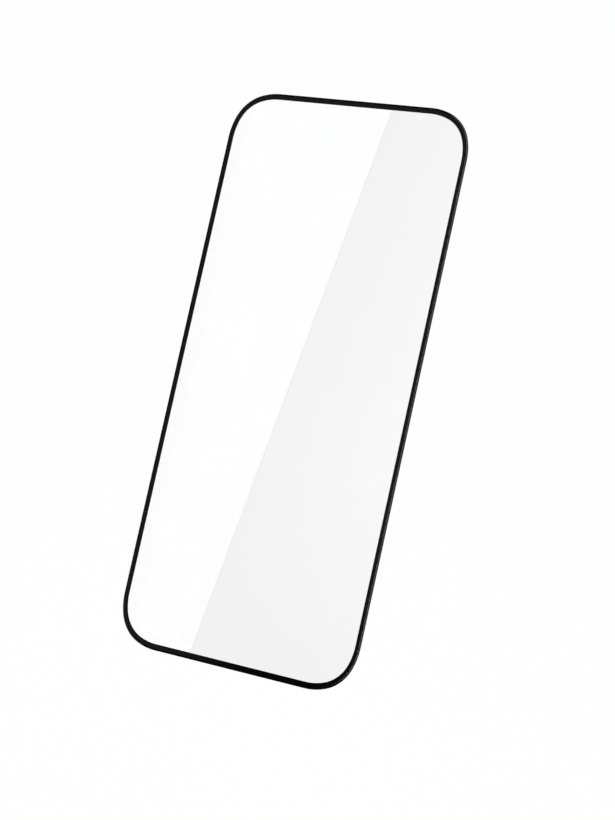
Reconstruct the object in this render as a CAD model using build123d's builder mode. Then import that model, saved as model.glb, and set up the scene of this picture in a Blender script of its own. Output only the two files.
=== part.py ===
from build123d import *
import os
from math import cos, radians, sin

# Screen protector for a phone, lying on its adhesive with the front of the glass up.
# X runs across the screen, Y up the screen and Z out of its front.
# The origin is the middle of the face that bonds to the phone.

# Outline of the glass
length = 147.0
width = 69.0

# Each corner turns by a wide arc, a tight arc and a second wide arc, so it starts and ends gently
flank_radius = 16.0
tip_radius = 10.4
flank_angle = 20.0

# Layers, from the phone outwards
adhesive_thickness = 0.15
ink_thickness = 0.02
glass_thickness = 0.33

# Polished front edge of the glass: a quarter of an ellipse, wider than it is deep
edge_width = 0.5
edge_depth = 0.24

# Back edge of the glass, eased by a small chamfer
arris = 0.03

# Black border, from the edge of the glass in to the clear window
border_side = 1.47
border_top = 1.55
border_bottom = 1.63

# Clear strip that the print leaves along the edge of the glass
print_margin = 0.04

# Strip along the edge that the adhesive leaves free, so that it isn't squeezed out
adhesive_margin = 0.4

# Heights of the faces where the layers meet
ink_base = adhesive_thickness
glass_base = ink_base + ink_thickness
glass_front = glass_base + glass_thickness

# Clear window inside the border
window_width = width - 2 * border_side
window_length = length - border_top - border_bottom
window_middle = (border_bottom - border_top) / 2


def screen_outline(outline_width, outline_length, corner_inset, middle=0.0):
    """Closed outline like a phone's screen. Its corners are those of the glass, moved in by corner_inset."""
    flank = flank_radius - corner_inset
    tip = tip_radius - corner_inset
    lean = radians(flank_angle)
    # Length of side that one whole corner takes up
    reach = flank * (1 + sin(lean) - cos(lean)) + tip * (cos(lean) - sin(lean))
    right = outline_width / 2
    left = -right
    top = middle + outline_length / 2
    bottom = middle - outline_length / 2
    corners = [
        ((right, top - reach), (0, 1)),
        ((left + reach, top), (-1, 0)),
        ((left, bottom + reach), (0, -1)),
        ((right - reach, bottom), (1, 0)),
    ]
    with BuildLine() as outline:
        side_start = None
        for corner_start, heading in corners:
            if side_start:
                Line(side_start, corner_start)
            first_flank = JernArc(corner_start, heading, flank, flank_angle)
            tip_arc = JernArc(first_flank @ 1, first_flank % 1, tip, 90 - 2 * flank_angle)
            last_flank = JernArc(tip_arc @ 1, tip_arc % 1, flank, flank_angle)
            side_start = last_flank @ 1
        Line(side_start, corners[0][0])
    return outline.line


# Tempered glass: a flat sheet whose front edge is ground and polished to a quarter ellipse
with BuildPart() as glass_pane:
    with BuildSketch(Plane.XY.offset(glass_base)):
        with BuildLine():
            add(screen_outline(width, length, 0))
        make_face()
    extrude(amount=glass_thickness)
    back_face = glass_pane.faces().sort_by(Axis.Z)[0]
    chamfer(back_face.edges(), length=arris)
    with BuildLine(Plane.XY.offset(glass_front)) as rim:
        add(screen_outline(width, length, 0))
    with BuildSketch(Plane.XZ):
        with BuildLine():
            rim_corner = (width / 2, glass_front)
            front_end = (width / 2 - edge_width, glass_front)
            wall_end = (width / 2, glass_front - edge_depth)
            Line(front_end, rim_corner)
            Line(rim_corner, wall_end)
            EllipticalCenterArc((front_end[0], wall_end[1]), edge_width, edge_depth, arc_size=90)
        make_face()
    sweep(path=rim.wires()[0], mode=Mode.SUBTRACT)

# Black border: a film of ink printed on the back of the glass, round the clear window
with BuildPart() as black_border:
    with BuildSketch(Plane.XY.offset(ink_base)):
        with BuildLine():
            add(screen_outline(width - 2 * print_margin, length - 2 * print_margin, print_margin))
        make_face()
        with BuildLine():
            add(screen_outline(window_width, window_length, border_side, window_middle))
        make_face(mode=Mode.SUBTRACT)
    extrude(amount=ink_thickness)

# Clear silicone adhesive: one sheet under the whole pane, which also fills the step inside the border
with BuildPart() as adhesive_layer:
    with BuildSketch():
        with BuildLine():
            add(screen_outline(width - 2 * adhesive_margin, length - 2 * adhesive_margin, adhesive_margin))
        make_face()
    extrude(amount=adhesive_thickness)
    with BuildSketch(Plane.XY.offset(adhesive_thickness)):
        with BuildLine():
            add(screen_outline(window_width, window_length, border_side, window_middle))
        make_face()
    extrude(amount=ink_thickness)

glass_pane.part.label = "glass_pane"
black_border.part.label = "black_border"
adhesive_layer.part.label = "adhesive_layer"

os.makedirs("parts", exist_ok=True)
export_step(glass_pane.part, "parts/glass_pane.step")
export_step(black_border.part, "parts/black_border.step")
export_step(adhesive_layer.part, "parts/adhesive_layer.step")
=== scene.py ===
# %% [markdown]
# # A glass screen protector for a phone
#
# The real thing is a laminate of three layers: a thin sheet of tempered glass, a black border printed on
# the back of it, and a film of clear silicone adhesive that sticks it to a phone. It lies here on its
# adhesive, with the front of the glass up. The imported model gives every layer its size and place. This
# script rebuilds the layers with finer edges, gives them their finishes and lights them as in a product
# photograph.

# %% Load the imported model
import math

import bmesh
import bpy
from mathutils import Matrix, Vector


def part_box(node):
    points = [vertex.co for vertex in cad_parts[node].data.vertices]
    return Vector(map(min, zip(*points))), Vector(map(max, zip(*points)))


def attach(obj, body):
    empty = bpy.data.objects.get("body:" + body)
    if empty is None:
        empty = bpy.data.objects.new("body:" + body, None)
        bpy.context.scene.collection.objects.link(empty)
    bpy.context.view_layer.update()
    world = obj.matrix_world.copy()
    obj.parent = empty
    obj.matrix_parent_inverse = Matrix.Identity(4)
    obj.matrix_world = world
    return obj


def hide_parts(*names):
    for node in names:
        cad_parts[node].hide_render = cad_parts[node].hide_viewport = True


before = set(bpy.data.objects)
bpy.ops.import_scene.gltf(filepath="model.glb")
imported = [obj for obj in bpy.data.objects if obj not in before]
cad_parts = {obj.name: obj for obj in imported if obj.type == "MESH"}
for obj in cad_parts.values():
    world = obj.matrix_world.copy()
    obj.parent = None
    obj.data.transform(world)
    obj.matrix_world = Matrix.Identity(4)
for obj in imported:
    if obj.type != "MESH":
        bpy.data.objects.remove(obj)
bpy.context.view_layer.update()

MM = 0.001
glass_low, glass_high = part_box("glass_pane")
ink_low, ink_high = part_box("black_border")
adhesive_low, adhesive_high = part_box("adhesive_layer")


def in_mm(vector):
    """A size in millimetres, for printing."""
    return [round(v / MM, 3) for v in vector]


print("glass", in_mm(glass_high - glass_low), "mm")
print("ink", in_mm(ink_high - ink_low), "mm")
print("adhesive", in_mm(adhesive_high - adhesive_low), "mm")

# %% [markdown]
# ## The outline
#
# A phone's screen doesn't have plain quarter circles for corners. Each corner starts and ends gently, so it
# is drawn as a wide arc, a tight arc and another wide arc that touch without a kink. A rectangle rounded by
# a bevel would have one radius only, so the points of the arcs are worked out by a formula.

# %% One corner
FLANK_RADIUS = 16.0 * MM
TIP_RADIUS = 10.4 * MM
FLANK_ANGLE = math.radians(20.0)
FLANK_STEPS = 10
TIP_STEPS = 26
CORNER_POINTS = 2 * FLANK_STEPS + TIP_STEPS + 1


def corner_reach(inset):
    """How far the corner runs along each side of the outline."""
    turn = math.cos(FLANK_ANGLE) - math.sin(FLANK_ANGLE)
    return (FLANK_RADIUS - inset) * (1 - turn) + (TIP_RADIUS - inset) * turn


def corner_points(right, top, inset):
    """Points of the upper right corner, anticlockwise: the arcs of the glass, moved in by inset."""
    flank = FLANK_RADIUS - inset
    tip = TIP_RADIUS - inset
    reach = corner_reach(inset)
    lean = FLANK_ANGLE
    quarter = math.pi / 2
    side_centre = Vector((right - flank, top - reach))
    tip_centre = side_centre + (flank - tip) * Vector((math.cos(lean), math.sin(lean)))
    top_centre = Vector((right - reach, top - flank))
    arcs = [
        (side_centre, flank, 0, lean, FLANK_STEPS),
        (tip_centre, tip, lean, quarter - lean, TIP_STEPS),
        (top_centre, flank, quarter - lean, quarter, FLANK_STEPS),
    ]
    points = [Vector((right, top - reach))]
    for centre, radius, start, end, steps in arcs:
        for step in range(1, steps + 1):
            angle = start + (end - start) * step / steps
            points.append(centre + radius * Vector((math.cos(angle), math.sin(angle))))
    return points


print("each corner runs", round(corner_reach(0.0) / MM, 2), "mm along both sides")

# %% [markdown]
# The glass, the ink, the window and the adhesive all have these corners, only moved inwards. So one
# function gives any layer's outline: it makes one corner and mirrors it to the other three. Every outline
# has the same number of points, so two of them can be joined point by point.

# %% Whole outlines
def outline(low, high, inset):
    """Points round a layer's outline, anticlockwise. low and high are the corners of its box."""
    middle = (low + high) / 2
    half = (high - low) / 2
    corner = corner_points(half.x, half.y, inset)
    upper_right = [(p.x, p.y) for p in corner]
    upper_left = [(-p.x, p.y) for p in reversed(corner)]
    lower_left = [(-p.x, -p.y) for p in corner]
    lower_right = [(p.x, -p.y) for p in reversed(corner)]
    around = upper_right + upper_left + lower_left + lower_right
    return [(middle.x + x, middle.y + y) for x, y in around]


def inset_outline(low, high, inset, corner_inset=0.0):
    """Outline of a box whose corners already sit corner_inset in from the glass, moved in by inset."""
    margin = Vector((inset, inset, 0))
    return outline(low + margin, high - margin, corner_inset + inset)


print("each outline has", 4 * CORNER_POINTS, "points")

# %% [markdown]
# ## Skinning the outlines
#
# Every layer is a stack of outlines at different heights. A curve with a bevel could give a thick sheet
# too, but then its faces couldn't have different finishes. So neighbouring loops are joined here by quads,
# and each face gets its material slot as it is made. The flat faces are laced across from side to side,
# because the renderer would cut up one large polygon in its own way.

# %% Mesh helpers
def add_loop(mesh, points, height):
    """One outline at that height."""
    return [mesh.verts.new((x, y, height)) for x, y in points]


def add_face(mesh, corners, slot):
    """One smooth face in a material slot."""
    face = mesh.faces.new(corners)
    face.material_index = slot
    face.smooth = True


def join_loops(mesh, first, second, slot=0):
    """A band of quads between two loops."""
    for i in range(len(first)):
        add_face(mesh, (first[i - 1], first[i], second[i], second[i - 1]), slot)


def lace_flat(mesh, loop, slot):
    """A flat face inside a loop, made of quads that run across from side to side."""
    half = len(loop) // 2
    rows = [(loop[CORNER_POINTS - 1 - k], loop[CORNER_POINTS + k]) for k in range(half)]
    for (right, left), (next_right, next_left) in zip(rows, rows[1:]):
        add_face(mesh, (right, left, next_left, next_right), slot)


print("each band has", 4 * CORNER_POINTS, "quads, each flat face", 2 * CORNER_POINTS - 1)

# %% [markdown]
# A finished mesh becomes an object that rides on the model's body. Shading is smooth, so that the fine
# curves look round, but an edge where two faces meet at a real angle has to stay hard. Splitting the mesh
# there would do that too, but would leave it open, so each edge is marked by its angle instead.

# %% From mesh to piece
SHARP_ANGLE = math.radians(30.0)


def add_object(name, data):
    """A new object in the scene."""
    new_object = bpy.data.objects.new(name, data)
    bpy.context.scene.collection.objects.link(new_object)
    return new_object


def add_mesh(name, mesh, materials):
    """Turns a finished mesh into an object with these materials."""
    data = bpy.data.meshes.new(name)
    mesh.to_mesh(data)
    mesh.free()
    for material in materials:
        data.materials.append(material)
    return add_object(name, data)


def make_piece(name, mesh, materials):
    """Turns the mesh into an object on the model's body, with hard edges kept hard."""
    bmesh.ops.recalc_face_normals(mesh, faces=mesh.faces)
    for edge in mesh.edges:
        edge.smooth = edge.calc_face_angle(0.0) < SHARP_ANGLE
    piece = add_mesh(name, mesh, materials)
    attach(piece, "root")
    print(name, len(piece.data.polygons), "faces")
    return piece


print("edges over", round(math.degrees(SHARP_ANGLE)), "degrees stay hard")

# %% [markdown]
# ## Finishes
#
# No real surface is the same all over. Polished glass and coated silicone are very slightly wavy, and their
# smoothness drifts a little. All the clear finishes have that in common, so it is one node group with named
# sockets, placed in each finish with its own values. An image could hold it too, but noise has no seams and
# stays sharp at any distance.

# %% Noise helpers
NOISE_SPAN = (0.3, 0.7)


def own_place(tree):
    """Where each point lies on its own object."""
    return tree.nodes.new("ShaderNodeTexCoord").outputs["Object"]


def feed(tree, value, socket):
    """Sets a socket to a number, or links it to another socket."""
    if isinstance(value, (int, float)):
        socket.default_value = value
    else:
        tree.links.new(value, socket)


def noise(tree, place, scale, detail, distortion=0.0):
    """A noise value that keeps to its object. It mostly lies within NOISE_SPAN."""
    texture = tree.nodes.new("ShaderNodeTexNoise")
    tree.links.new(place, texture.inputs["Vector"])
    feed(tree, scale, texture.inputs["Scale"])
    texture.inputs["Detail"].default_value = detail
    texture.inputs["Distortion"].default_value = distortion
    return texture.outputs["Fac"]


def mapped(tree, value, low, high, span):
    """Maps a value from its span on to low to high. Outside the span it stays at the nearer end."""
    node = tree.nodes.new("ShaderNodeMapRange")
    tree.links.new(value, node.inputs["Value"])
    node.inputs["From Min"].default_value = span[0]
    node.inputs["From Max"].default_value = span[1]
    feed(tree, low, node.inputs["To Min"])
    feed(tree, high, node.inputs["To Max"])
    return node.outputs["Result"]


print("noise mostly lies between", NOISE_SPAN[0], "and", NOISE_SPAN[1])

# %% The shared swirl
WAVE_DETAIL = 1.0
DRIFT_SCALE = 28.0
DRIFT_DETAIL = 4.0
DRIFT_TWIST = 1.2


def build_surface_swirl():
    """Soft waviness and drifting roughness of a polished or coated sheet."""
    group = bpy.data.node_groups.new("surface_swirl", "ShaderNodeTree")
    for name in ("Scale", "Smoothest", "Roughest"):
        group.interface.new_socket(name, in_out="INPUT", socket_type="NodeSocketFloat")
    for name in ("Height", "Roughness"):
        group.interface.new_socket(name, in_out="OUTPUT", socket_type="NodeSocketFloat")
    given = group.nodes.new("NodeGroupInput").outputs
    result = group.nodes.new("NodeGroupOutput").inputs
    place = own_place(group)
    waves = noise(group, place, given["Scale"], WAVE_DETAIL)
    drift = noise(group, place, DRIFT_SCALE, DRIFT_DETAIL, DRIFT_TWIST)
    rough = mapped(group, drift, given["Smoothest"], given["Roughest"], NOISE_SPAN)
    group.links.new(waves, result["Height"])
    group.links.new(rough, result["Roughness"])
    return group


surface_swirl = build_surface_swirl()
print(surface_swirl.name, [socket.name for socket in surface_swirl.interface.items_tree])

# %% [markdown]
# ### Clear layers
#
# Glass and silicone get the same kind of shader: full transmission, almost no roughness, and a bend of
# light (IOR) of 1.52 for glass and 1.41 for silicone. Where the layers are bonded nothing mirrors, so the
# bonded faces have an IOR of 1: light goes straight on there, and is mirrored again only where it leaves
# the laminate. The ground edge is less smooth than the faces, and greener, because light goes a longer way
# through it. The Glass shader would do as well, but the Principled shader keeps its values when the model
# is exported.

# %% Material helpers
def new_material(name):
    """A material, its node tree and its Principled shader."""
    material = bpy.data.materials.new(name)
    material.use_nodes = True
    tree = material.node_tree
    return material, tree, tree.nodes["Principled BSDF"]


def tone(tree, value, tones):
    """A colour between two tones, led by a noise value."""
    ramp = tree.nodes.new("ShaderNodeValToRGB")
    for element, position, colour in zip(ramp.color_ramp.elements, NOISE_SPAN, tones):
        element.position = position
        element.color = (*colour, 1)
    tree.links.new(value, ramp.inputs["Fac"])
    return ramp.outputs["Color"]


def add_relief(tree, shader, height, depth):
    """Fine relief on the surface, led by a value. depth is in metres."""
    bump = tree.nodes.new("ShaderNodeBump")
    bump.inputs["Distance"].default_value = depth
    tree.links.new(height, bump.inputs["Height"])
    tree.links.new(bump.outputs["Normal"], shader.inputs["Normal"])


print("a tone turns into the next over", round(NOISE_SPAN[1] - NOISE_SPAN[0], 2), "of the noise")

# %% Clear materials
GLASS_IOR = 1.52
ADHESIVE_IOR = 1.41
BONDED_IOR = 1.0
GLASS_TONES = ((0.979, 0.979, 0.979), (0.983, 0.983, 0.983))
EDGE_TONES = ((0.93, 0.96, 0.95), (0.95, 0.975, 0.966))
ADHESIVE_TONES = ((0.959, 0.959, 0.959), (0.963, 0.963, 0.963))
GLASS_ROUGHNESS = (0.002, 0.006)
EDGE_ROUGHNESS = (0.03, 0.07)
ADHESIVE_ROUGHNESS = (0.003, 0.008)
GLASS_WAVES = 60.0
ADHESIVE_WAVES = 45.0
WAVE_DEPTH = 2.5e-7


def clear_material(name, ior, tones, roughness, waves):
    """A clear layer's surface."""
    material, tree, shader = new_material(name)
    shader.inputs["Transmission Weight"].default_value = 1.0
    shader.inputs["IOR"].default_value = ior
    swirl = tree.nodes.new("ShaderNodeGroup")
    swirl.node_tree = surface_swirl
    swirl.inputs["Scale"].default_value = waves
    swirl.inputs["Smoothest"].default_value = roughness[0]
    swirl.inputs["Roughest"].default_value = roughness[1]
    tree.links.new(swirl.outputs["Roughness"], shader.inputs["Roughness"])
    tree.links.new(tone(tree, swirl.outputs["Height"], tones), shader.inputs["Base Color"])
    add_relief(tree, shader, swirl.outputs["Height"], WAVE_DEPTH)
    print("material", name)
    return material


glass_front = clear_material("tempered_glass", GLASS_IOR, GLASS_TONES, GLASS_ROUGHNESS, GLASS_WAVES)
glass_edge = clear_material("polished_glass_edge", GLASS_IOR, EDGE_TONES, EDGE_ROUGHNESS, GLASS_WAVES)
glass_back = clear_material("bonded_glass_back", BONDED_IOR, GLASS_TONES, GLASS_ROUGHNESS, GLASS_WAVES)
adhesive_skin = clear_material(
    "silicone_adhesive", ADHESIVE_IOR, ADHESIVE_TONES, ADHESIVE_ROUGHNESS, ADHESIVE_WAVES
)
adhesive_bonded = clear_material(
    "bonded_adhesive_face", BONDED_IOR, ADHESIVE_TONES, ADHESIVE_ROUGHNESS, ADHESIVE_WAVES
)

# %% [markdown]
# ### Black ink
#
# The ink is seen through the glass that it is printed on. It has no gloss of its own there, because the
# glass wets it: it is only a deep black. One flat black would look cut out, so its tone has a slow mottle,
# and its surface has the fine grain that screen printing leaves.

# %% Ink material
INK_TONES = ((0.0016, 0.0016, 0.0017), (0.0023, 0.0023, 0.0024))
INK_ROUGHNESS = (0.36, 0.5)
MOTTLE_SCALE = 120.0
MOTTLE_DETAIL = 3.0
GRAIN_SCALE = 9000.0
GRAIN_DETAIL = 2.0
GRAIN_DEPTH = 2e-6


def ink_material():
    """Opaque black screen-printed ink."""
    material, tree, shader = new_material("black_print_ink")
    shader.inputs["Specular IOR Level"].default_value = 0.0
    place = own_place(tree)
    mottle = noise(tree, place, MOTTLE_SCALE, MOTTLE_DETAIL)
    grain = noise(tree, place, GRAIN_SCALE, GRAIN_DETAIL)
    tree.links.new(tone(tree, mottle, INK_TONES), shader.inputs["Base Color"])
    tree.links.new(mapped(tree, grain, *INK_ROUGHNESS, NOISE_SPAN), shader.inputs["Roughness"])
    add_relief(tree, shader, grain, GRAIN_DEPTH)
    return material


border_ink = ink_material()
print("material", border_ink.name)

# %% [markdown]
# ## The glass pane
#
# The front edge of such glass is ground and polished to a soft curve. Its section is a quarter of an
# ellipse, wider than it is deep, then a short upright wall and a small chamfer at the back. A bevel
# modifier rounds in circles, so the section is given here as insets and heights, and a loop is made for
# each of them. One more loop just inside the curve keeps the front perfectly flat: without it, smooth
# shading would tilt the face.

# %% Section of the pane's edge
EDGE_WIDTH = 0.5 * MM
EDGE_DEPTH = 0.24 * MM
ARRIS = 0.03 * MM
EDGE_STEPS = 14


def pane_section():
    """(inset, height) pairs along the pane's edge, from its back face to its front face."""
    wall_top = glass_high.z - EDGE_DEPTH
    section = [(ARRIS, glass_low.z), (0.0, glass_low.z + ARRIS)]
    for step in range(EDGE_STEPS + 1):
        angle = math.pi / 2 * step / EDGE_STEPS
        inset = EDGE_WIDTH * (1 - math.cos(angle))
        section.append((inset, wall_top + EDGE_DEPTH * math.sin(angle)))
    return section


print("edge section has", len(pane_section()), "points")

# %% Build the pane
FLAT_HOLD = 0.03 * MM
FRONT_SLOT, EDGE_SLOT, BACK_SLOT = 0, 1, 2


def build_pane():
    """Tempered glass with its polished edge."""
    mesh = bmesh.new()
    loops = []
    for inset, height in pane_section():
        loops.append(add_loop(mesh, inset_outline(glass_low, glass_high, inset), height))
    for lower, upper in zip(loops, loops[1:]):
        join_loops(mesh, lower, upper, EDGE_SLOT)
    flat = add_loop(mesh, inset_outline(glass_low, glass_high, EDGE_WIDTH + FLAT_HOLD), glass_high.z)
    join_loops(mesh, loops[-1], flat, FRONT_SLOT)
    lace_flat(mesh, flat, FRONT_SLOT)
    lace_flat(mesh, loops[0], BACK_SLOT)
    return make_piece("glass_pane_polished", mesh, [glass_front, glass_edge, glass_back])


pane = build_pane()
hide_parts("glass_pane")

# %% [markdown]
# ## The printed border
#
# The border is a film of ink a fiftieth of a millimetre thick. Its outer edge stops a hair short of the
# edge of the glass, and its inner edge is the clear window. It could be a black patch on the back of the
# glass, but its edge would then have no thickness, so it is a ring of its own. The ink is set two microns
# into the glass: that bonds the two and leaves no film of air to mirror anything. The adhesive rises to
# fill the window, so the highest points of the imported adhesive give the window's size.

# %% Size of the window
BOND = 0.002 * MM


def window_box():
    """Lowest and highest corner of the clear window, read from the raised middle of the adhesive."""
    points = [v.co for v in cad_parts["adhesive_layer"].data.vertices if v.co.z > ink_low.z + BOND]
    low = Vector((min(p.x for p in points), min(p.y for p in points), 0))
    high = Vector((max(p.x for p in points), max(p.y for p in points), 0))
    return low, high


window_low, window_high = window_box()
window_inset = window_low.x - glass_low.x
print("window", in_mm((window_high - window_low).xy), "mm, border", round(window_inset / MM, 3), "mm")

# %% Build the border
def build_border():
    """The ring of ink between the edge of the glass and the window."""
    mesh = bmesh.new()
    outside = outline(ink_low, ink_high, ink_low.x - glass_low.x)
    inside = outline(window_low, window_high, window_inset)
    top = ink_high.z + BOND
    outer_low = add_loop(mesh, outside, ink_low.z)
    outer_high = add_loop(mesh, outside, top)
    inner_high = add_loop(mesh, inside, top)
    inner_low = add_loop(mesh, inside, ink_low.z)
    ring = [outer_low, outer_high, inner_high, inner_low, outer_low]
    for first, second in zip(ring, ring[1:]):
        join_loops(mesh, first, second)
    return make_piece("black_border_print", mesh, [border_ink])


border = build_border()
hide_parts("black_border")

# %% [markdown]
# ## The adhesive
#
# The silicone is coated on after the ink, so it covers the ink's back and fills the step at the window. Its
# cut edge is soft, so it is rounded a little. A flat sheet with a Solidify modifier would have neither the
# step nor the soft edge, so its loops are made like those of the pane. A gap of two microns keeps its
# bonded faces from sharing a place with the glass and the ink, where a renderer couldn't tell which face
# comes first.

# %% Build the adhesive
SOFT_EDGE = 0.04 * MM
SOFT_STEPS = 5
SKIN_SLOT, BONDED_SLOT = 0, 1


def build_adhesive():
    """Silicone sheet with a raised middle that fills the window."""
    mesh = bmesh.new()
    margin = adhesive_low.x - glass_low.x
    shelf = ink_low.z - BOND
    section = []
    for step in range(SOFT_STEPS + 1):
        angle = math.pi / 2 * step / SOFT_STEPS
        inset = SOFT_EDGE * (1 - math.sin(angle))
        section.append((inset, adhesive_low.z + SOFT_EDGE * (1 - math.cos(angle))))
    section.append((0.0, shelf))
    loops = []
    for inset, height in section:
        loops.append(add_loop(mesh, inset_outline(adhesive_low, adhesive_high, inset, margin), height))
    for lower, upper in zip(loops, loops[1:]):
        join_loops(mesh, lower, upper, SKIN_SLOT)
    step_outline = inset_outline(window_low, window_high, BOND, window_inset)
    step_low = add_loop(mesh, step_outline, shelf)
    step_high = add_loop(mesh, step_outline, adhesive_high.z - BOND)
    join_loops(mesh, loops[-1], step_low, BONDED_SLOT)
    join_loops(mesh, step_low, step_high, BONDED_SLOT)
    lace_flat(mesh, step_high, BONDED_SLOT)
    flat_inset = SOFT_EDGE + FLAT_HOLD
    flat = add_loop(mesh, inset_outline(adhesive_low, adhesive_high, flat_inset, margin), adhesive_low.z)
    join_loops(mesh, flat, loops[0], SKIN_SLOT)
    lace_flat(mesh, flat, SKIN_SLOT)
    return make_piece("adhesive_sheet", mesh, [adhesive_skin, adhesive_bonded])


adhesive = build_adhesive()
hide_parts("adhesive_layer")

# %% [markdown]
# Clear layers let light through to the floor. A path tracer finds such light only by chance, and would
# leave the floor under them dark and grainy. So the pieces cast no shadow, and the light that bounces off
# the floor passes them by. That holds for the ink too: a sixth of a millimetre above the floor, its shadow
# would be a blurred line about as thin, which only softens the border's crisp edge.

# %% Let light through to the floor
for piece in (pane, border, adhesive):
    piece.visible_shadow = False
    piece.visible_diffuse = False
    print("no shadow from", piece.name)

# %% [markdown]
# ## Camera
#
# The protector lies flat, so the camera looks down on it from the right, at the photograph's angle to the
# glass. A camera can be placed by eye, but a thin outline shows the smallest error. So its place, the point
# that it looks at, its roll and its lens were found by fitting the perspective of the outline.

# %% Camera
CAMERA_PLACE = Vector((244.03, -46.95, 439.17)) * MM
CAMERA_AIM = Vector((5.99, -6.37, 0.0)) * MM
CAMERA_ROLL = math.radians(12.53)
CAMERA_LENS = 88.035
CAMERA_NEAR = 0.01


def add_camera():
    """Camera at the photograph's angle. Its roll is counted from the screen's long side."""
    camera = add_object("camera", bpy.data.cameras.new("camera"))
    camera.data.lens = CAMERA_LENS
    camera.data.clip_start = CAMERA_NEAR
    backwards = (CAMERA_PLACE - CAMERA_AIM).normalized()
    across = Vector((0, 1, 0)).cross(backwards).normalized()
    upwards = backwards.cross(across)
    turned = Matrix((across, upwards, backwards)).transposed() @ Matrix.Rotation(CAMERA_ROLL, 3, "Z")
    camera.matrix_world = Matrix.Translation(CAMERA_PLACE) @ turned.to_4x4()
    bpy.context.scene.camera = camera


add_camera()
print("camera is", round((CAMERA_PLACE - CAMERA_AIM).length, 3), "m away")

# %% [markdown]
# ## Floor
#
# A large, plain, nearly white floor. A backdrop that curves up at the rear isn't needed, because the camera
# looks down. The floor lies a hundredth of a millimetre below the adhesive, so that no two faces share a
# place.

# %% Floor
FLOOR_DROP = 0.01 * MM
FLOOR_SIZE = 8.0
FLOOR_TONES = ((0.9, 0.9, 0.9), (0.905, 0.905, 0.905))
FLOOR_ROUGHNESS = 0.9
PATCH_SCALE = 3.0
PATCH_DETAIL = 3.0


def flat_sheet(name, points, material):
    """One flat face that belongs to the studio and not to the object."""
    mesh = bmesh.new()
    mesh.faces.new([mesh.verts.new(point) for point in points])
    sheet = add_mesh(name, mesh, [material])
    return sheet


def floor_material():
    """Matte, nearly white, with hardly visible patches."""
    material, tree, shader = new_material("pale_floor")
    shader.inputs["Roughness"].default_value = FLOOR_ROUGHNESS
    shader.inputs["Specular IOR Level"].default_value = 0.0
    patches = noise(tree, own_place(tree), PATCH_SCALE, PATCH_DETAIL)
    tree.links.new(tone(tree, patches, FLOOR_TONES), shader.inputs["Base Color"])
    return material


reach = FLOOR_SIZE / 2
corners = [(-reach, -reach), (reach, -reach), (reach, reach), (-reach, reach)]
flat_sheet("floor", [(x, y, -FLOOR_DROP) for x, y in corners], floor_material())
print("floor", FLOOR_SIZE, "m wide")

# %% [markdown]
# ## Light
#
# Soft light from all round makes the floor white. Lamps could do that too, but each would cast shadows of
# its own. The light isn't seen in mirror images, just as a photographer keeps the room out of a reflection,
# so the border stays black.

# %% World light
SKY_STRENGTH = 1.098


def add_sky():
    """Even white light from all round, which no mirror image shows."""
    world = bpy.data.worlds.new("studio")
    bpy.context.scene.world = world
    world.use_nodes = True
    sky = world.node_tree.nodes["Background"]
    sky.inputs["Color"].default_value = (1, 1, 1, 1)
    sky.inputs["Strength"].default_value = SKY_STRENGTH
    world.cycles_visibility.glossy = False
    world.cycles_visibility.transmission = False


add_sky()
print("sky", SKY_STRENGTH)

# %% [markdown]
# ### What the pane mirrors
#
# Glass shows itself by what it mirrors: the large bright shape in the window is the mirror image of a white
# panel. To find where the panel hangs, follow the camera's view down to the pane and up again: a point of
# the pane then gives a point of the panel. All such cards hang on one level.

# %% Mirrored places
CARD_HEIGHT = 0.6


def seen_in_pane(x, y):
    """The place on the cards' level that the camera sees mirrored at a point of the pane."""
    spot = Vector((x, y, glass_high.z))
    ray = spot - CAMERA_PLACE
    ray.z = -ray.z
    return spot + ray * ((CARD_HEIGHT - spot.z) / ray.z)


card_scale = (seen_in_pane(1.0, 0.0) - seen_in_pane(0.0, 0.0)).x
print("a card is", round(card_scale, 2), "times as large as its image on the pane")

# %% [markdown]
# The laminate mirrors everything twice: once on the front of the glass, and once on its back, where light
# leaves the adhesive. The ink hides the second image, so the border shows only the first, and the window
# shows both. A ray that the front mirrors is a glossy ray, and one that comes out of the glass again is a
# transmission ray. Each card can be hidden from either kind, as a photographer's flag hides a lamp from one
# side. A card that only transmission rays meet brightens the window and leaves the border black. A room or
# an image of one could be mirrored instead, but it would brighten both. The mirrored rays find the cards by
# themselves, so the renderer needn't aim light at them, which saves about a quarter of its time.

# %% Cards
def glow_material(name):
    """A glowing material, its node tree, the strength to set, and the place on the card to lead it."""
    material, tree, shader = new_material(name)
    material.cycles.emission_sampling = "NONE"
    tree.nodes.remove(shader)
    glow = tree.nodes.new("ShaderNodeEmission")
    tree.links.new(glow.outputs["Emission"], tree.nodes["Material Output"].inputs["Surface"])
    return material, tree, glow.inputs["Strength"], own_place(tree)


def along_axis(tree, place, axis):
    """How far along a direction each point lies."""
    dot = tree.nodes.new("ShaderNodeVectorMath")
    dot.operation = "DOT_PRODUCT"
    tree.links.new(place, dot.inputs[0])
    dot.inputs[1].default_value = axis
    return dot.outputs["Value"]


def glowing_card(name, points, material, in_front, in_back):
    """A card that only mirrors show: the front of the glass, the back of the laminate or both."""
    card = flat_sheet(name, points, material)
    card.visible_camera = False
    card.visible_diffuse = False
    card.visible_shadow = False
    card.visible_glossy = in_front
    card.visible_transmission = in_back
    faces = [face for face, shows in (("front", in_front), ("back", in_back)) if shows]
    print("card", name, "in the", " and ".join(faces))
    return card


def hung_card(name, corners, material, in_front, in_back):
    """A card on the cards' level. Its corners are given by the points of the pane that mirror them."""
    points = [seen_in_pane(x, y) for x, y in corners]
    glowing_card(name, points, material, in_front, in_back)


print("cards hang", CARD_HEIGHT, "m above the floor")

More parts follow.
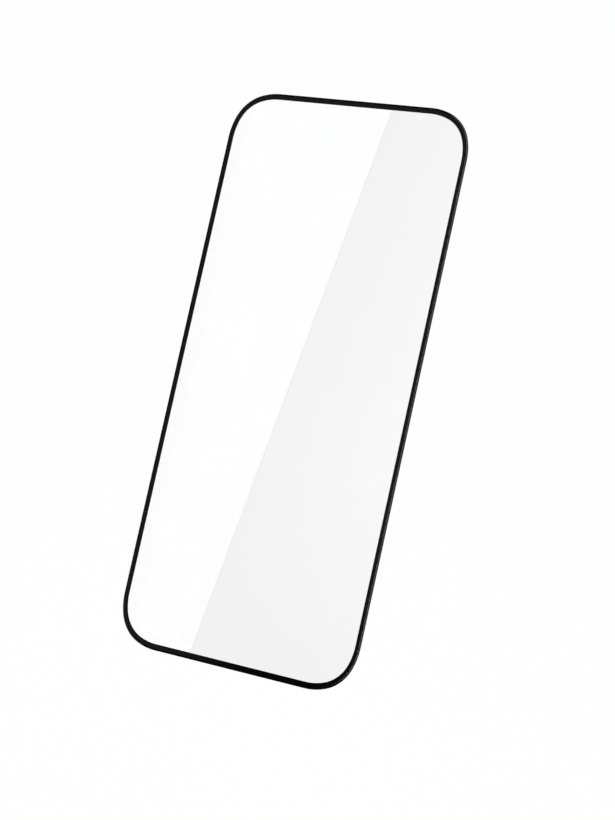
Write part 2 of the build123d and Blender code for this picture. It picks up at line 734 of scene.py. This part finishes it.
# %% [markdown]
# #### The white panel
#
# The diagonal across the window is the panel's straight edge. It could be painted on the glass, but paint
# would stay in its place from every side, and a mirror image moves. The panel is mirrored by the back
# alone. Along the far side of the window it is a little dimmer, as a panel is near its rim.

# %% White panel, left of the diagonal
PANEL_STRENGTH = 4.6
BRIGHT_EDGE_TOP = Vector((10.86, 70.6)) * MM
BRIGHT_EDGE_BOTTOM = Vector((-11.74, -71.7)) * MM
EDGE_SPARE = 0.15
PANEL_LEFT = -60.0 * MM
STRIP_EDGE = -29.0 * MM
STRIP_SOFT = 2.0 * MM
STRIP_SHARE = 0.86
edge_run = BRIGHT_EDGE_TOP - BRIGHT_EDGE_BOTTOM
panel_top = BRIGHT_EDGE_TOP + edge_run * EDGE_SPARE
panel_bottom = BRIGHT_EDGE_BOTTOM - edge_run * EDGE_SPARE


def add_panel():
    """White panel, a little dimmer along its far side."""
    material, tree, strength, place = glow_material("panel_glow")
    dim_to = seen_in_pane(STRIP_EDGE - STRIP_SOFT / 2, 0.0).x
    full_from = seen_in_pane(STRIP_EDGE + STRIP_SOFT / 2, 0.0).x
    across = along_axis(tree, place, (1, 0, 0))
    level = mapped(tree, across, PANEL_STRENGTH * STRIP_SHARE, PANEL_STRENGTH, (dim_to, full_from))
    tree.links.new(level, strength)
    corners = [panel_top, (PANEL_LEFT, panel_top.y), (PANEL_LEFT, panel_bottom.y), panel_bottom]
    hung_card("white_panel", corners, material, in_front=False, in_back=True)


add_panel()

# %% [markdown]
# #### The faint glow
#
# Right of the diagonal the window is a pale grey, which isn't quite even: it is darkest beside the
# diagonal, grows lighter to the right and fades at the near end. A dim card with two gradients gives it
# that. Several dim lamps could do the same, but they would light the floor as well.

# %% Levels of the glow along the pane
GLOW_ALONG = [(0.0, 0.3), (0.1, 0.5), (0.35, 1.0), (0.7, 0.95), (1.0, 0.75)]


def levels_along(tree, place, levels):
    """A level that changes along the pane, from its near end to its far end."""
    near = seen_in_pane(0.0, glass_low.y).y
    far = seen_in_pane(0.0, glass_high.y).y
    share = mapped(tree, along_axis(tree, place, (0, 1, 0)), 0.0, 1.0, (near, far))
    ramp = tree.nodes.new("ShaderNodeValToRGB")
    ramp.color_ramp.interpolation = "B_SPLINE"
    for position, _ in levels[1:-1]:
        ramp.color_ramp.elements.new(position)
    for element, (position, level) in zip(ramp.color_ramp.elements, levels):
        element.position = position
        element.color = (level, level, level, 1)
    tree.links.new(share, ramp.inputs["Fac"])
    return ramp.outputs["Color"]


print("the glow has", len(GLOW_ALONG), "levels along the pane")

# %% Faint glow, right of the diagonal
GLOW_STRENGTH = 2.7
GLOW_GAP = 0.5 * MM
GLOW_RIGHT = 50.0 * MM
GLOW_NEAR_SHARE = 0.42
GLOW_FULL_AT = 32.0 * MM


def add_glow():
    """Dim card that grows brighter from the diagonal to the right, and fades at the near end."""
    material, tree, strength, place = glow_material("right_glow")
    gap = Vector((GLOW_GAP, 0))
    top = panel_top + gap
    bottom = panel_bottom + gap
    start = seen_in_pane(*bottom)
    run = (seen_in_pane(*top) - start).normalized()
    outwards = Vector((run.y, -run.x, 0))
    first = start.dot(outwards)
    span = (first, first + GLOW_FULL_AT * card_scale)
    across = along_axis(tree, place, outwards)
    rise = mapped(tree, across, GLOW_STRENGTH * GLOW_NEAR_SHARE, GLOW_STRENGTH, span)
    level = tree.nodes.new("ShaderNodeMath")
    level.operation = "MULTIPLY"
    tree.links.new(rise, level.inputs[0])
    tree.links.new(levels_along(tree, place, GLOW_ALONG), level.inputs[1])
    tree.links.new(level.outputs["Value"], strength)
    corners = [top, bottom, (GLOW_RIGHT, bottom.y), (GLOW_RIGHT, top.y)]
    hung_card("faint_glow", corners, material, in_front=False, in_back=True)


add_glow()

# %% [markdown]
# #### The dim backdrop
#
# The border isn't quite black: the front of the glass lifts it a little, except round the lower right. A
# wide, very dim card that only the front mirrors does that. A lighter ink would lift it evenly, so the ink
# stays dark.

# %% Dim backdrop, mirrored by the front
BACKDROP_STRENGTH = 0.18
BACKDROP_DARK_SPOT = Vector((17.0, -76.0)) * MM
BACKDROP_FADE = (12.0 * MM, 38.0 * MM)


def add_backdrop():
    """Dim card that lifts the black of the border a little, and fades out round the lower right."""
    material, tree, strength, place = glow_material("backdrop_glow")
    away = tree.nodes.new("ShaderNodeVectorMath")
    away.operation = "DISTANCE"
    tree.links.new(place, away.inputs[0])
    away.inputs[1].default_value = seen_in_pane(*BACKDROP_DARK_SPOT)
    span = [distance * card_scale for distance in BACKDROP_FADE]
    tree.links.new(mapped(tree, away.outputs["Value"], 0.0, BACKDROP_STRENGTH, span), strength)
    top = panel_top.y
    corners = [(GLOW_RIGHT, top), (PANEL_LEFT, top), (PANEL_LEFT, -top), (GLOW_RIGHT, -top)]
    hung_card("dim_backdrop", corners, material, in_front=True, in_back=False)


add_backdrop()

# %% [markdown]
# #### The softbox
#
# A polished edge shows as a thin grey line, because somewhere on its curve it mirrors a lamp. Here that is
# the right edge, and the lamp is a softbox above and to the right, which only the front of the glass and
# its edge show. A card could be mirrored there too, but the renderer aims at a lamp, which leaves less
# grain in so thin a line. Its strength is given as a glow, from which the power of a lamp of that size
# follows.

# %% Softbox for the polished edge
SOFTBOX_LEFT = Vector((-0.27, 0.32, 0.80))
SOFTBOX_RIGHT = Vector((0.55, 0.32, 0.62))
SOFTBOX_DEPTH = 1.26
SOFTBOX_GLOW = 1.35


def add_softbox():
    """Softbox above and to the right, which only the front of the glass and its edge show."""
    span = SOFTBOX_RIGHT - SOFTBOX_LEFT
    lamp = bpy.data.lights.new("right_softbox", "AREA")
    lamp.shape = "RECTANGLE"
    lamp.size = span.length
    lamp.size_y = SOFTBOX_DEPTH
    lamp.energy = SOFTBOX_GLOW * math.pi * span.length * SOFTBOX_DEPTH
    along = span.normalized()
    depth = Vector((0, 1, 0))
    turned = Matrix((along, depth, along.cross(depth))).transposed().to_4x4()
    softbox = add_object("right_softbox", lamp)
    softbox.matrix_world = Matrix.Translation((SOFTBOX_LEFT + SOFTBOX_RIGHT) / 2) @ turned
    softbox.visible_camera = False
    softbox.visible_diffuse = False
    softbox.visible_transmission = False
    return softbox


softbox = add_softbox()
print("softbox", round(softbox.data.energy, 2), "W")

# %% [markdown]
# #### Screens for the low views
#
# From a low angle the pane mirrors what stands round it, and with nothing there it would be a dead grey. So
# screens stand round it. Four stand in slanting directions and fade to one side, and both faces mirror
# them. At the two ends and on the right a screen would also shine in polished edges that the photograph
# shows black, so only the back mirrors the three that stand there. Their soft slanting edge gives the pane
# a diagonal sheen.

# %% Stand a screen
SCREEN_DISTANCE = 1.2
SCREEN_LOW = 0.12
SCREEN_HIGH = 1.0
SCREEN_SIDE = 0.5
SCREEN_LEAN = 0.25


def add_screen(direction, half_angle, material, in_front):
    """One leaning screen that stands in that direction, in degrees, and faces the pane."""
    points = [
        (-SCREEN_SIDE, 0, SCREEN_LOW),
        (SCREEN_SIDE, 0, SCREEN_LOW),
        (SCREEN_SIDE + SCREEN_LEAN, 0, SCREEN_HIGH),
        (-SCREEN_SIDE + SCREEN_LEAN, 0, SCREEN_HIGH),
    ]
    screen = glowing_card(f"screen_{direction}", points, material, in_front, in_back=True)
    angle = math.radians(direction)
    screen.location = SCREEN_DISTANCE * Vector((math.cos(angle), math.sin(angle), 0))
    screen.rotation_euler.z = angle - math.pi / 2
    screen.scale.x = SCREEN_DISTANCE * math.tan(math.radians(half_angle)) / SCREEN_SIDE


def screen_material(name, axis, levels, span):
    """Glow that changes along an axis of the screen."""
    material, tree, strength, place = glow_material(name)
    tree.links.new(mapped(tree, along_axis(tree, place, axis), *levels, span), strength)
    return material


print("screens stand", SCREEN_DISTANCE, "m away")

# %% Screens all round
FADE_LEVELS = (0.15, 0.9)
FADE_SPAN = (-0.5, 0.3)
FADE_DIRECTIONS = [(45, 25), (147, 16), (208, 22), (315, 25)]
SHEEN_LEVELS = (0.5, 4.5)
SHEEN_SLANT = 1.5
SHEEN_SPAN = (-0.55, -0.45)
SHEEN_DIRECTIONS = [(0, 19), (90, 20), (270, 19)]

fading = screen_material("fading_screen_glow", (1, 0, 0), FADE_LEVELS, FADE_SPAN)
for direction, half_angle in FADE_DIRECTIONS:
    add_screen(direction, half_angle, fading, in_front=True)
sheen = screen_material("sheen_screen_glow", (1, 0, -SHEEN_SLANT), SHEEN_LEVELS, SHEEN_SPAN)
for direction, half_angle in SHEEN_DIRECTIONS:
    add_screen(direction, half_angle, sheen, in_front=False)

# %% [markdown]
# ## Plain picture
#
# Blender's usual view transform compresses bright tones, and would turn the white floor grey. The
# photograph is nearly all white and black, so the plain transform is right here.

# %% Plain picture
bpy.context.scene.view_settings.view_transform = "Standard"
print("view transform", bpy.context.scene.view_settings.view_transform)
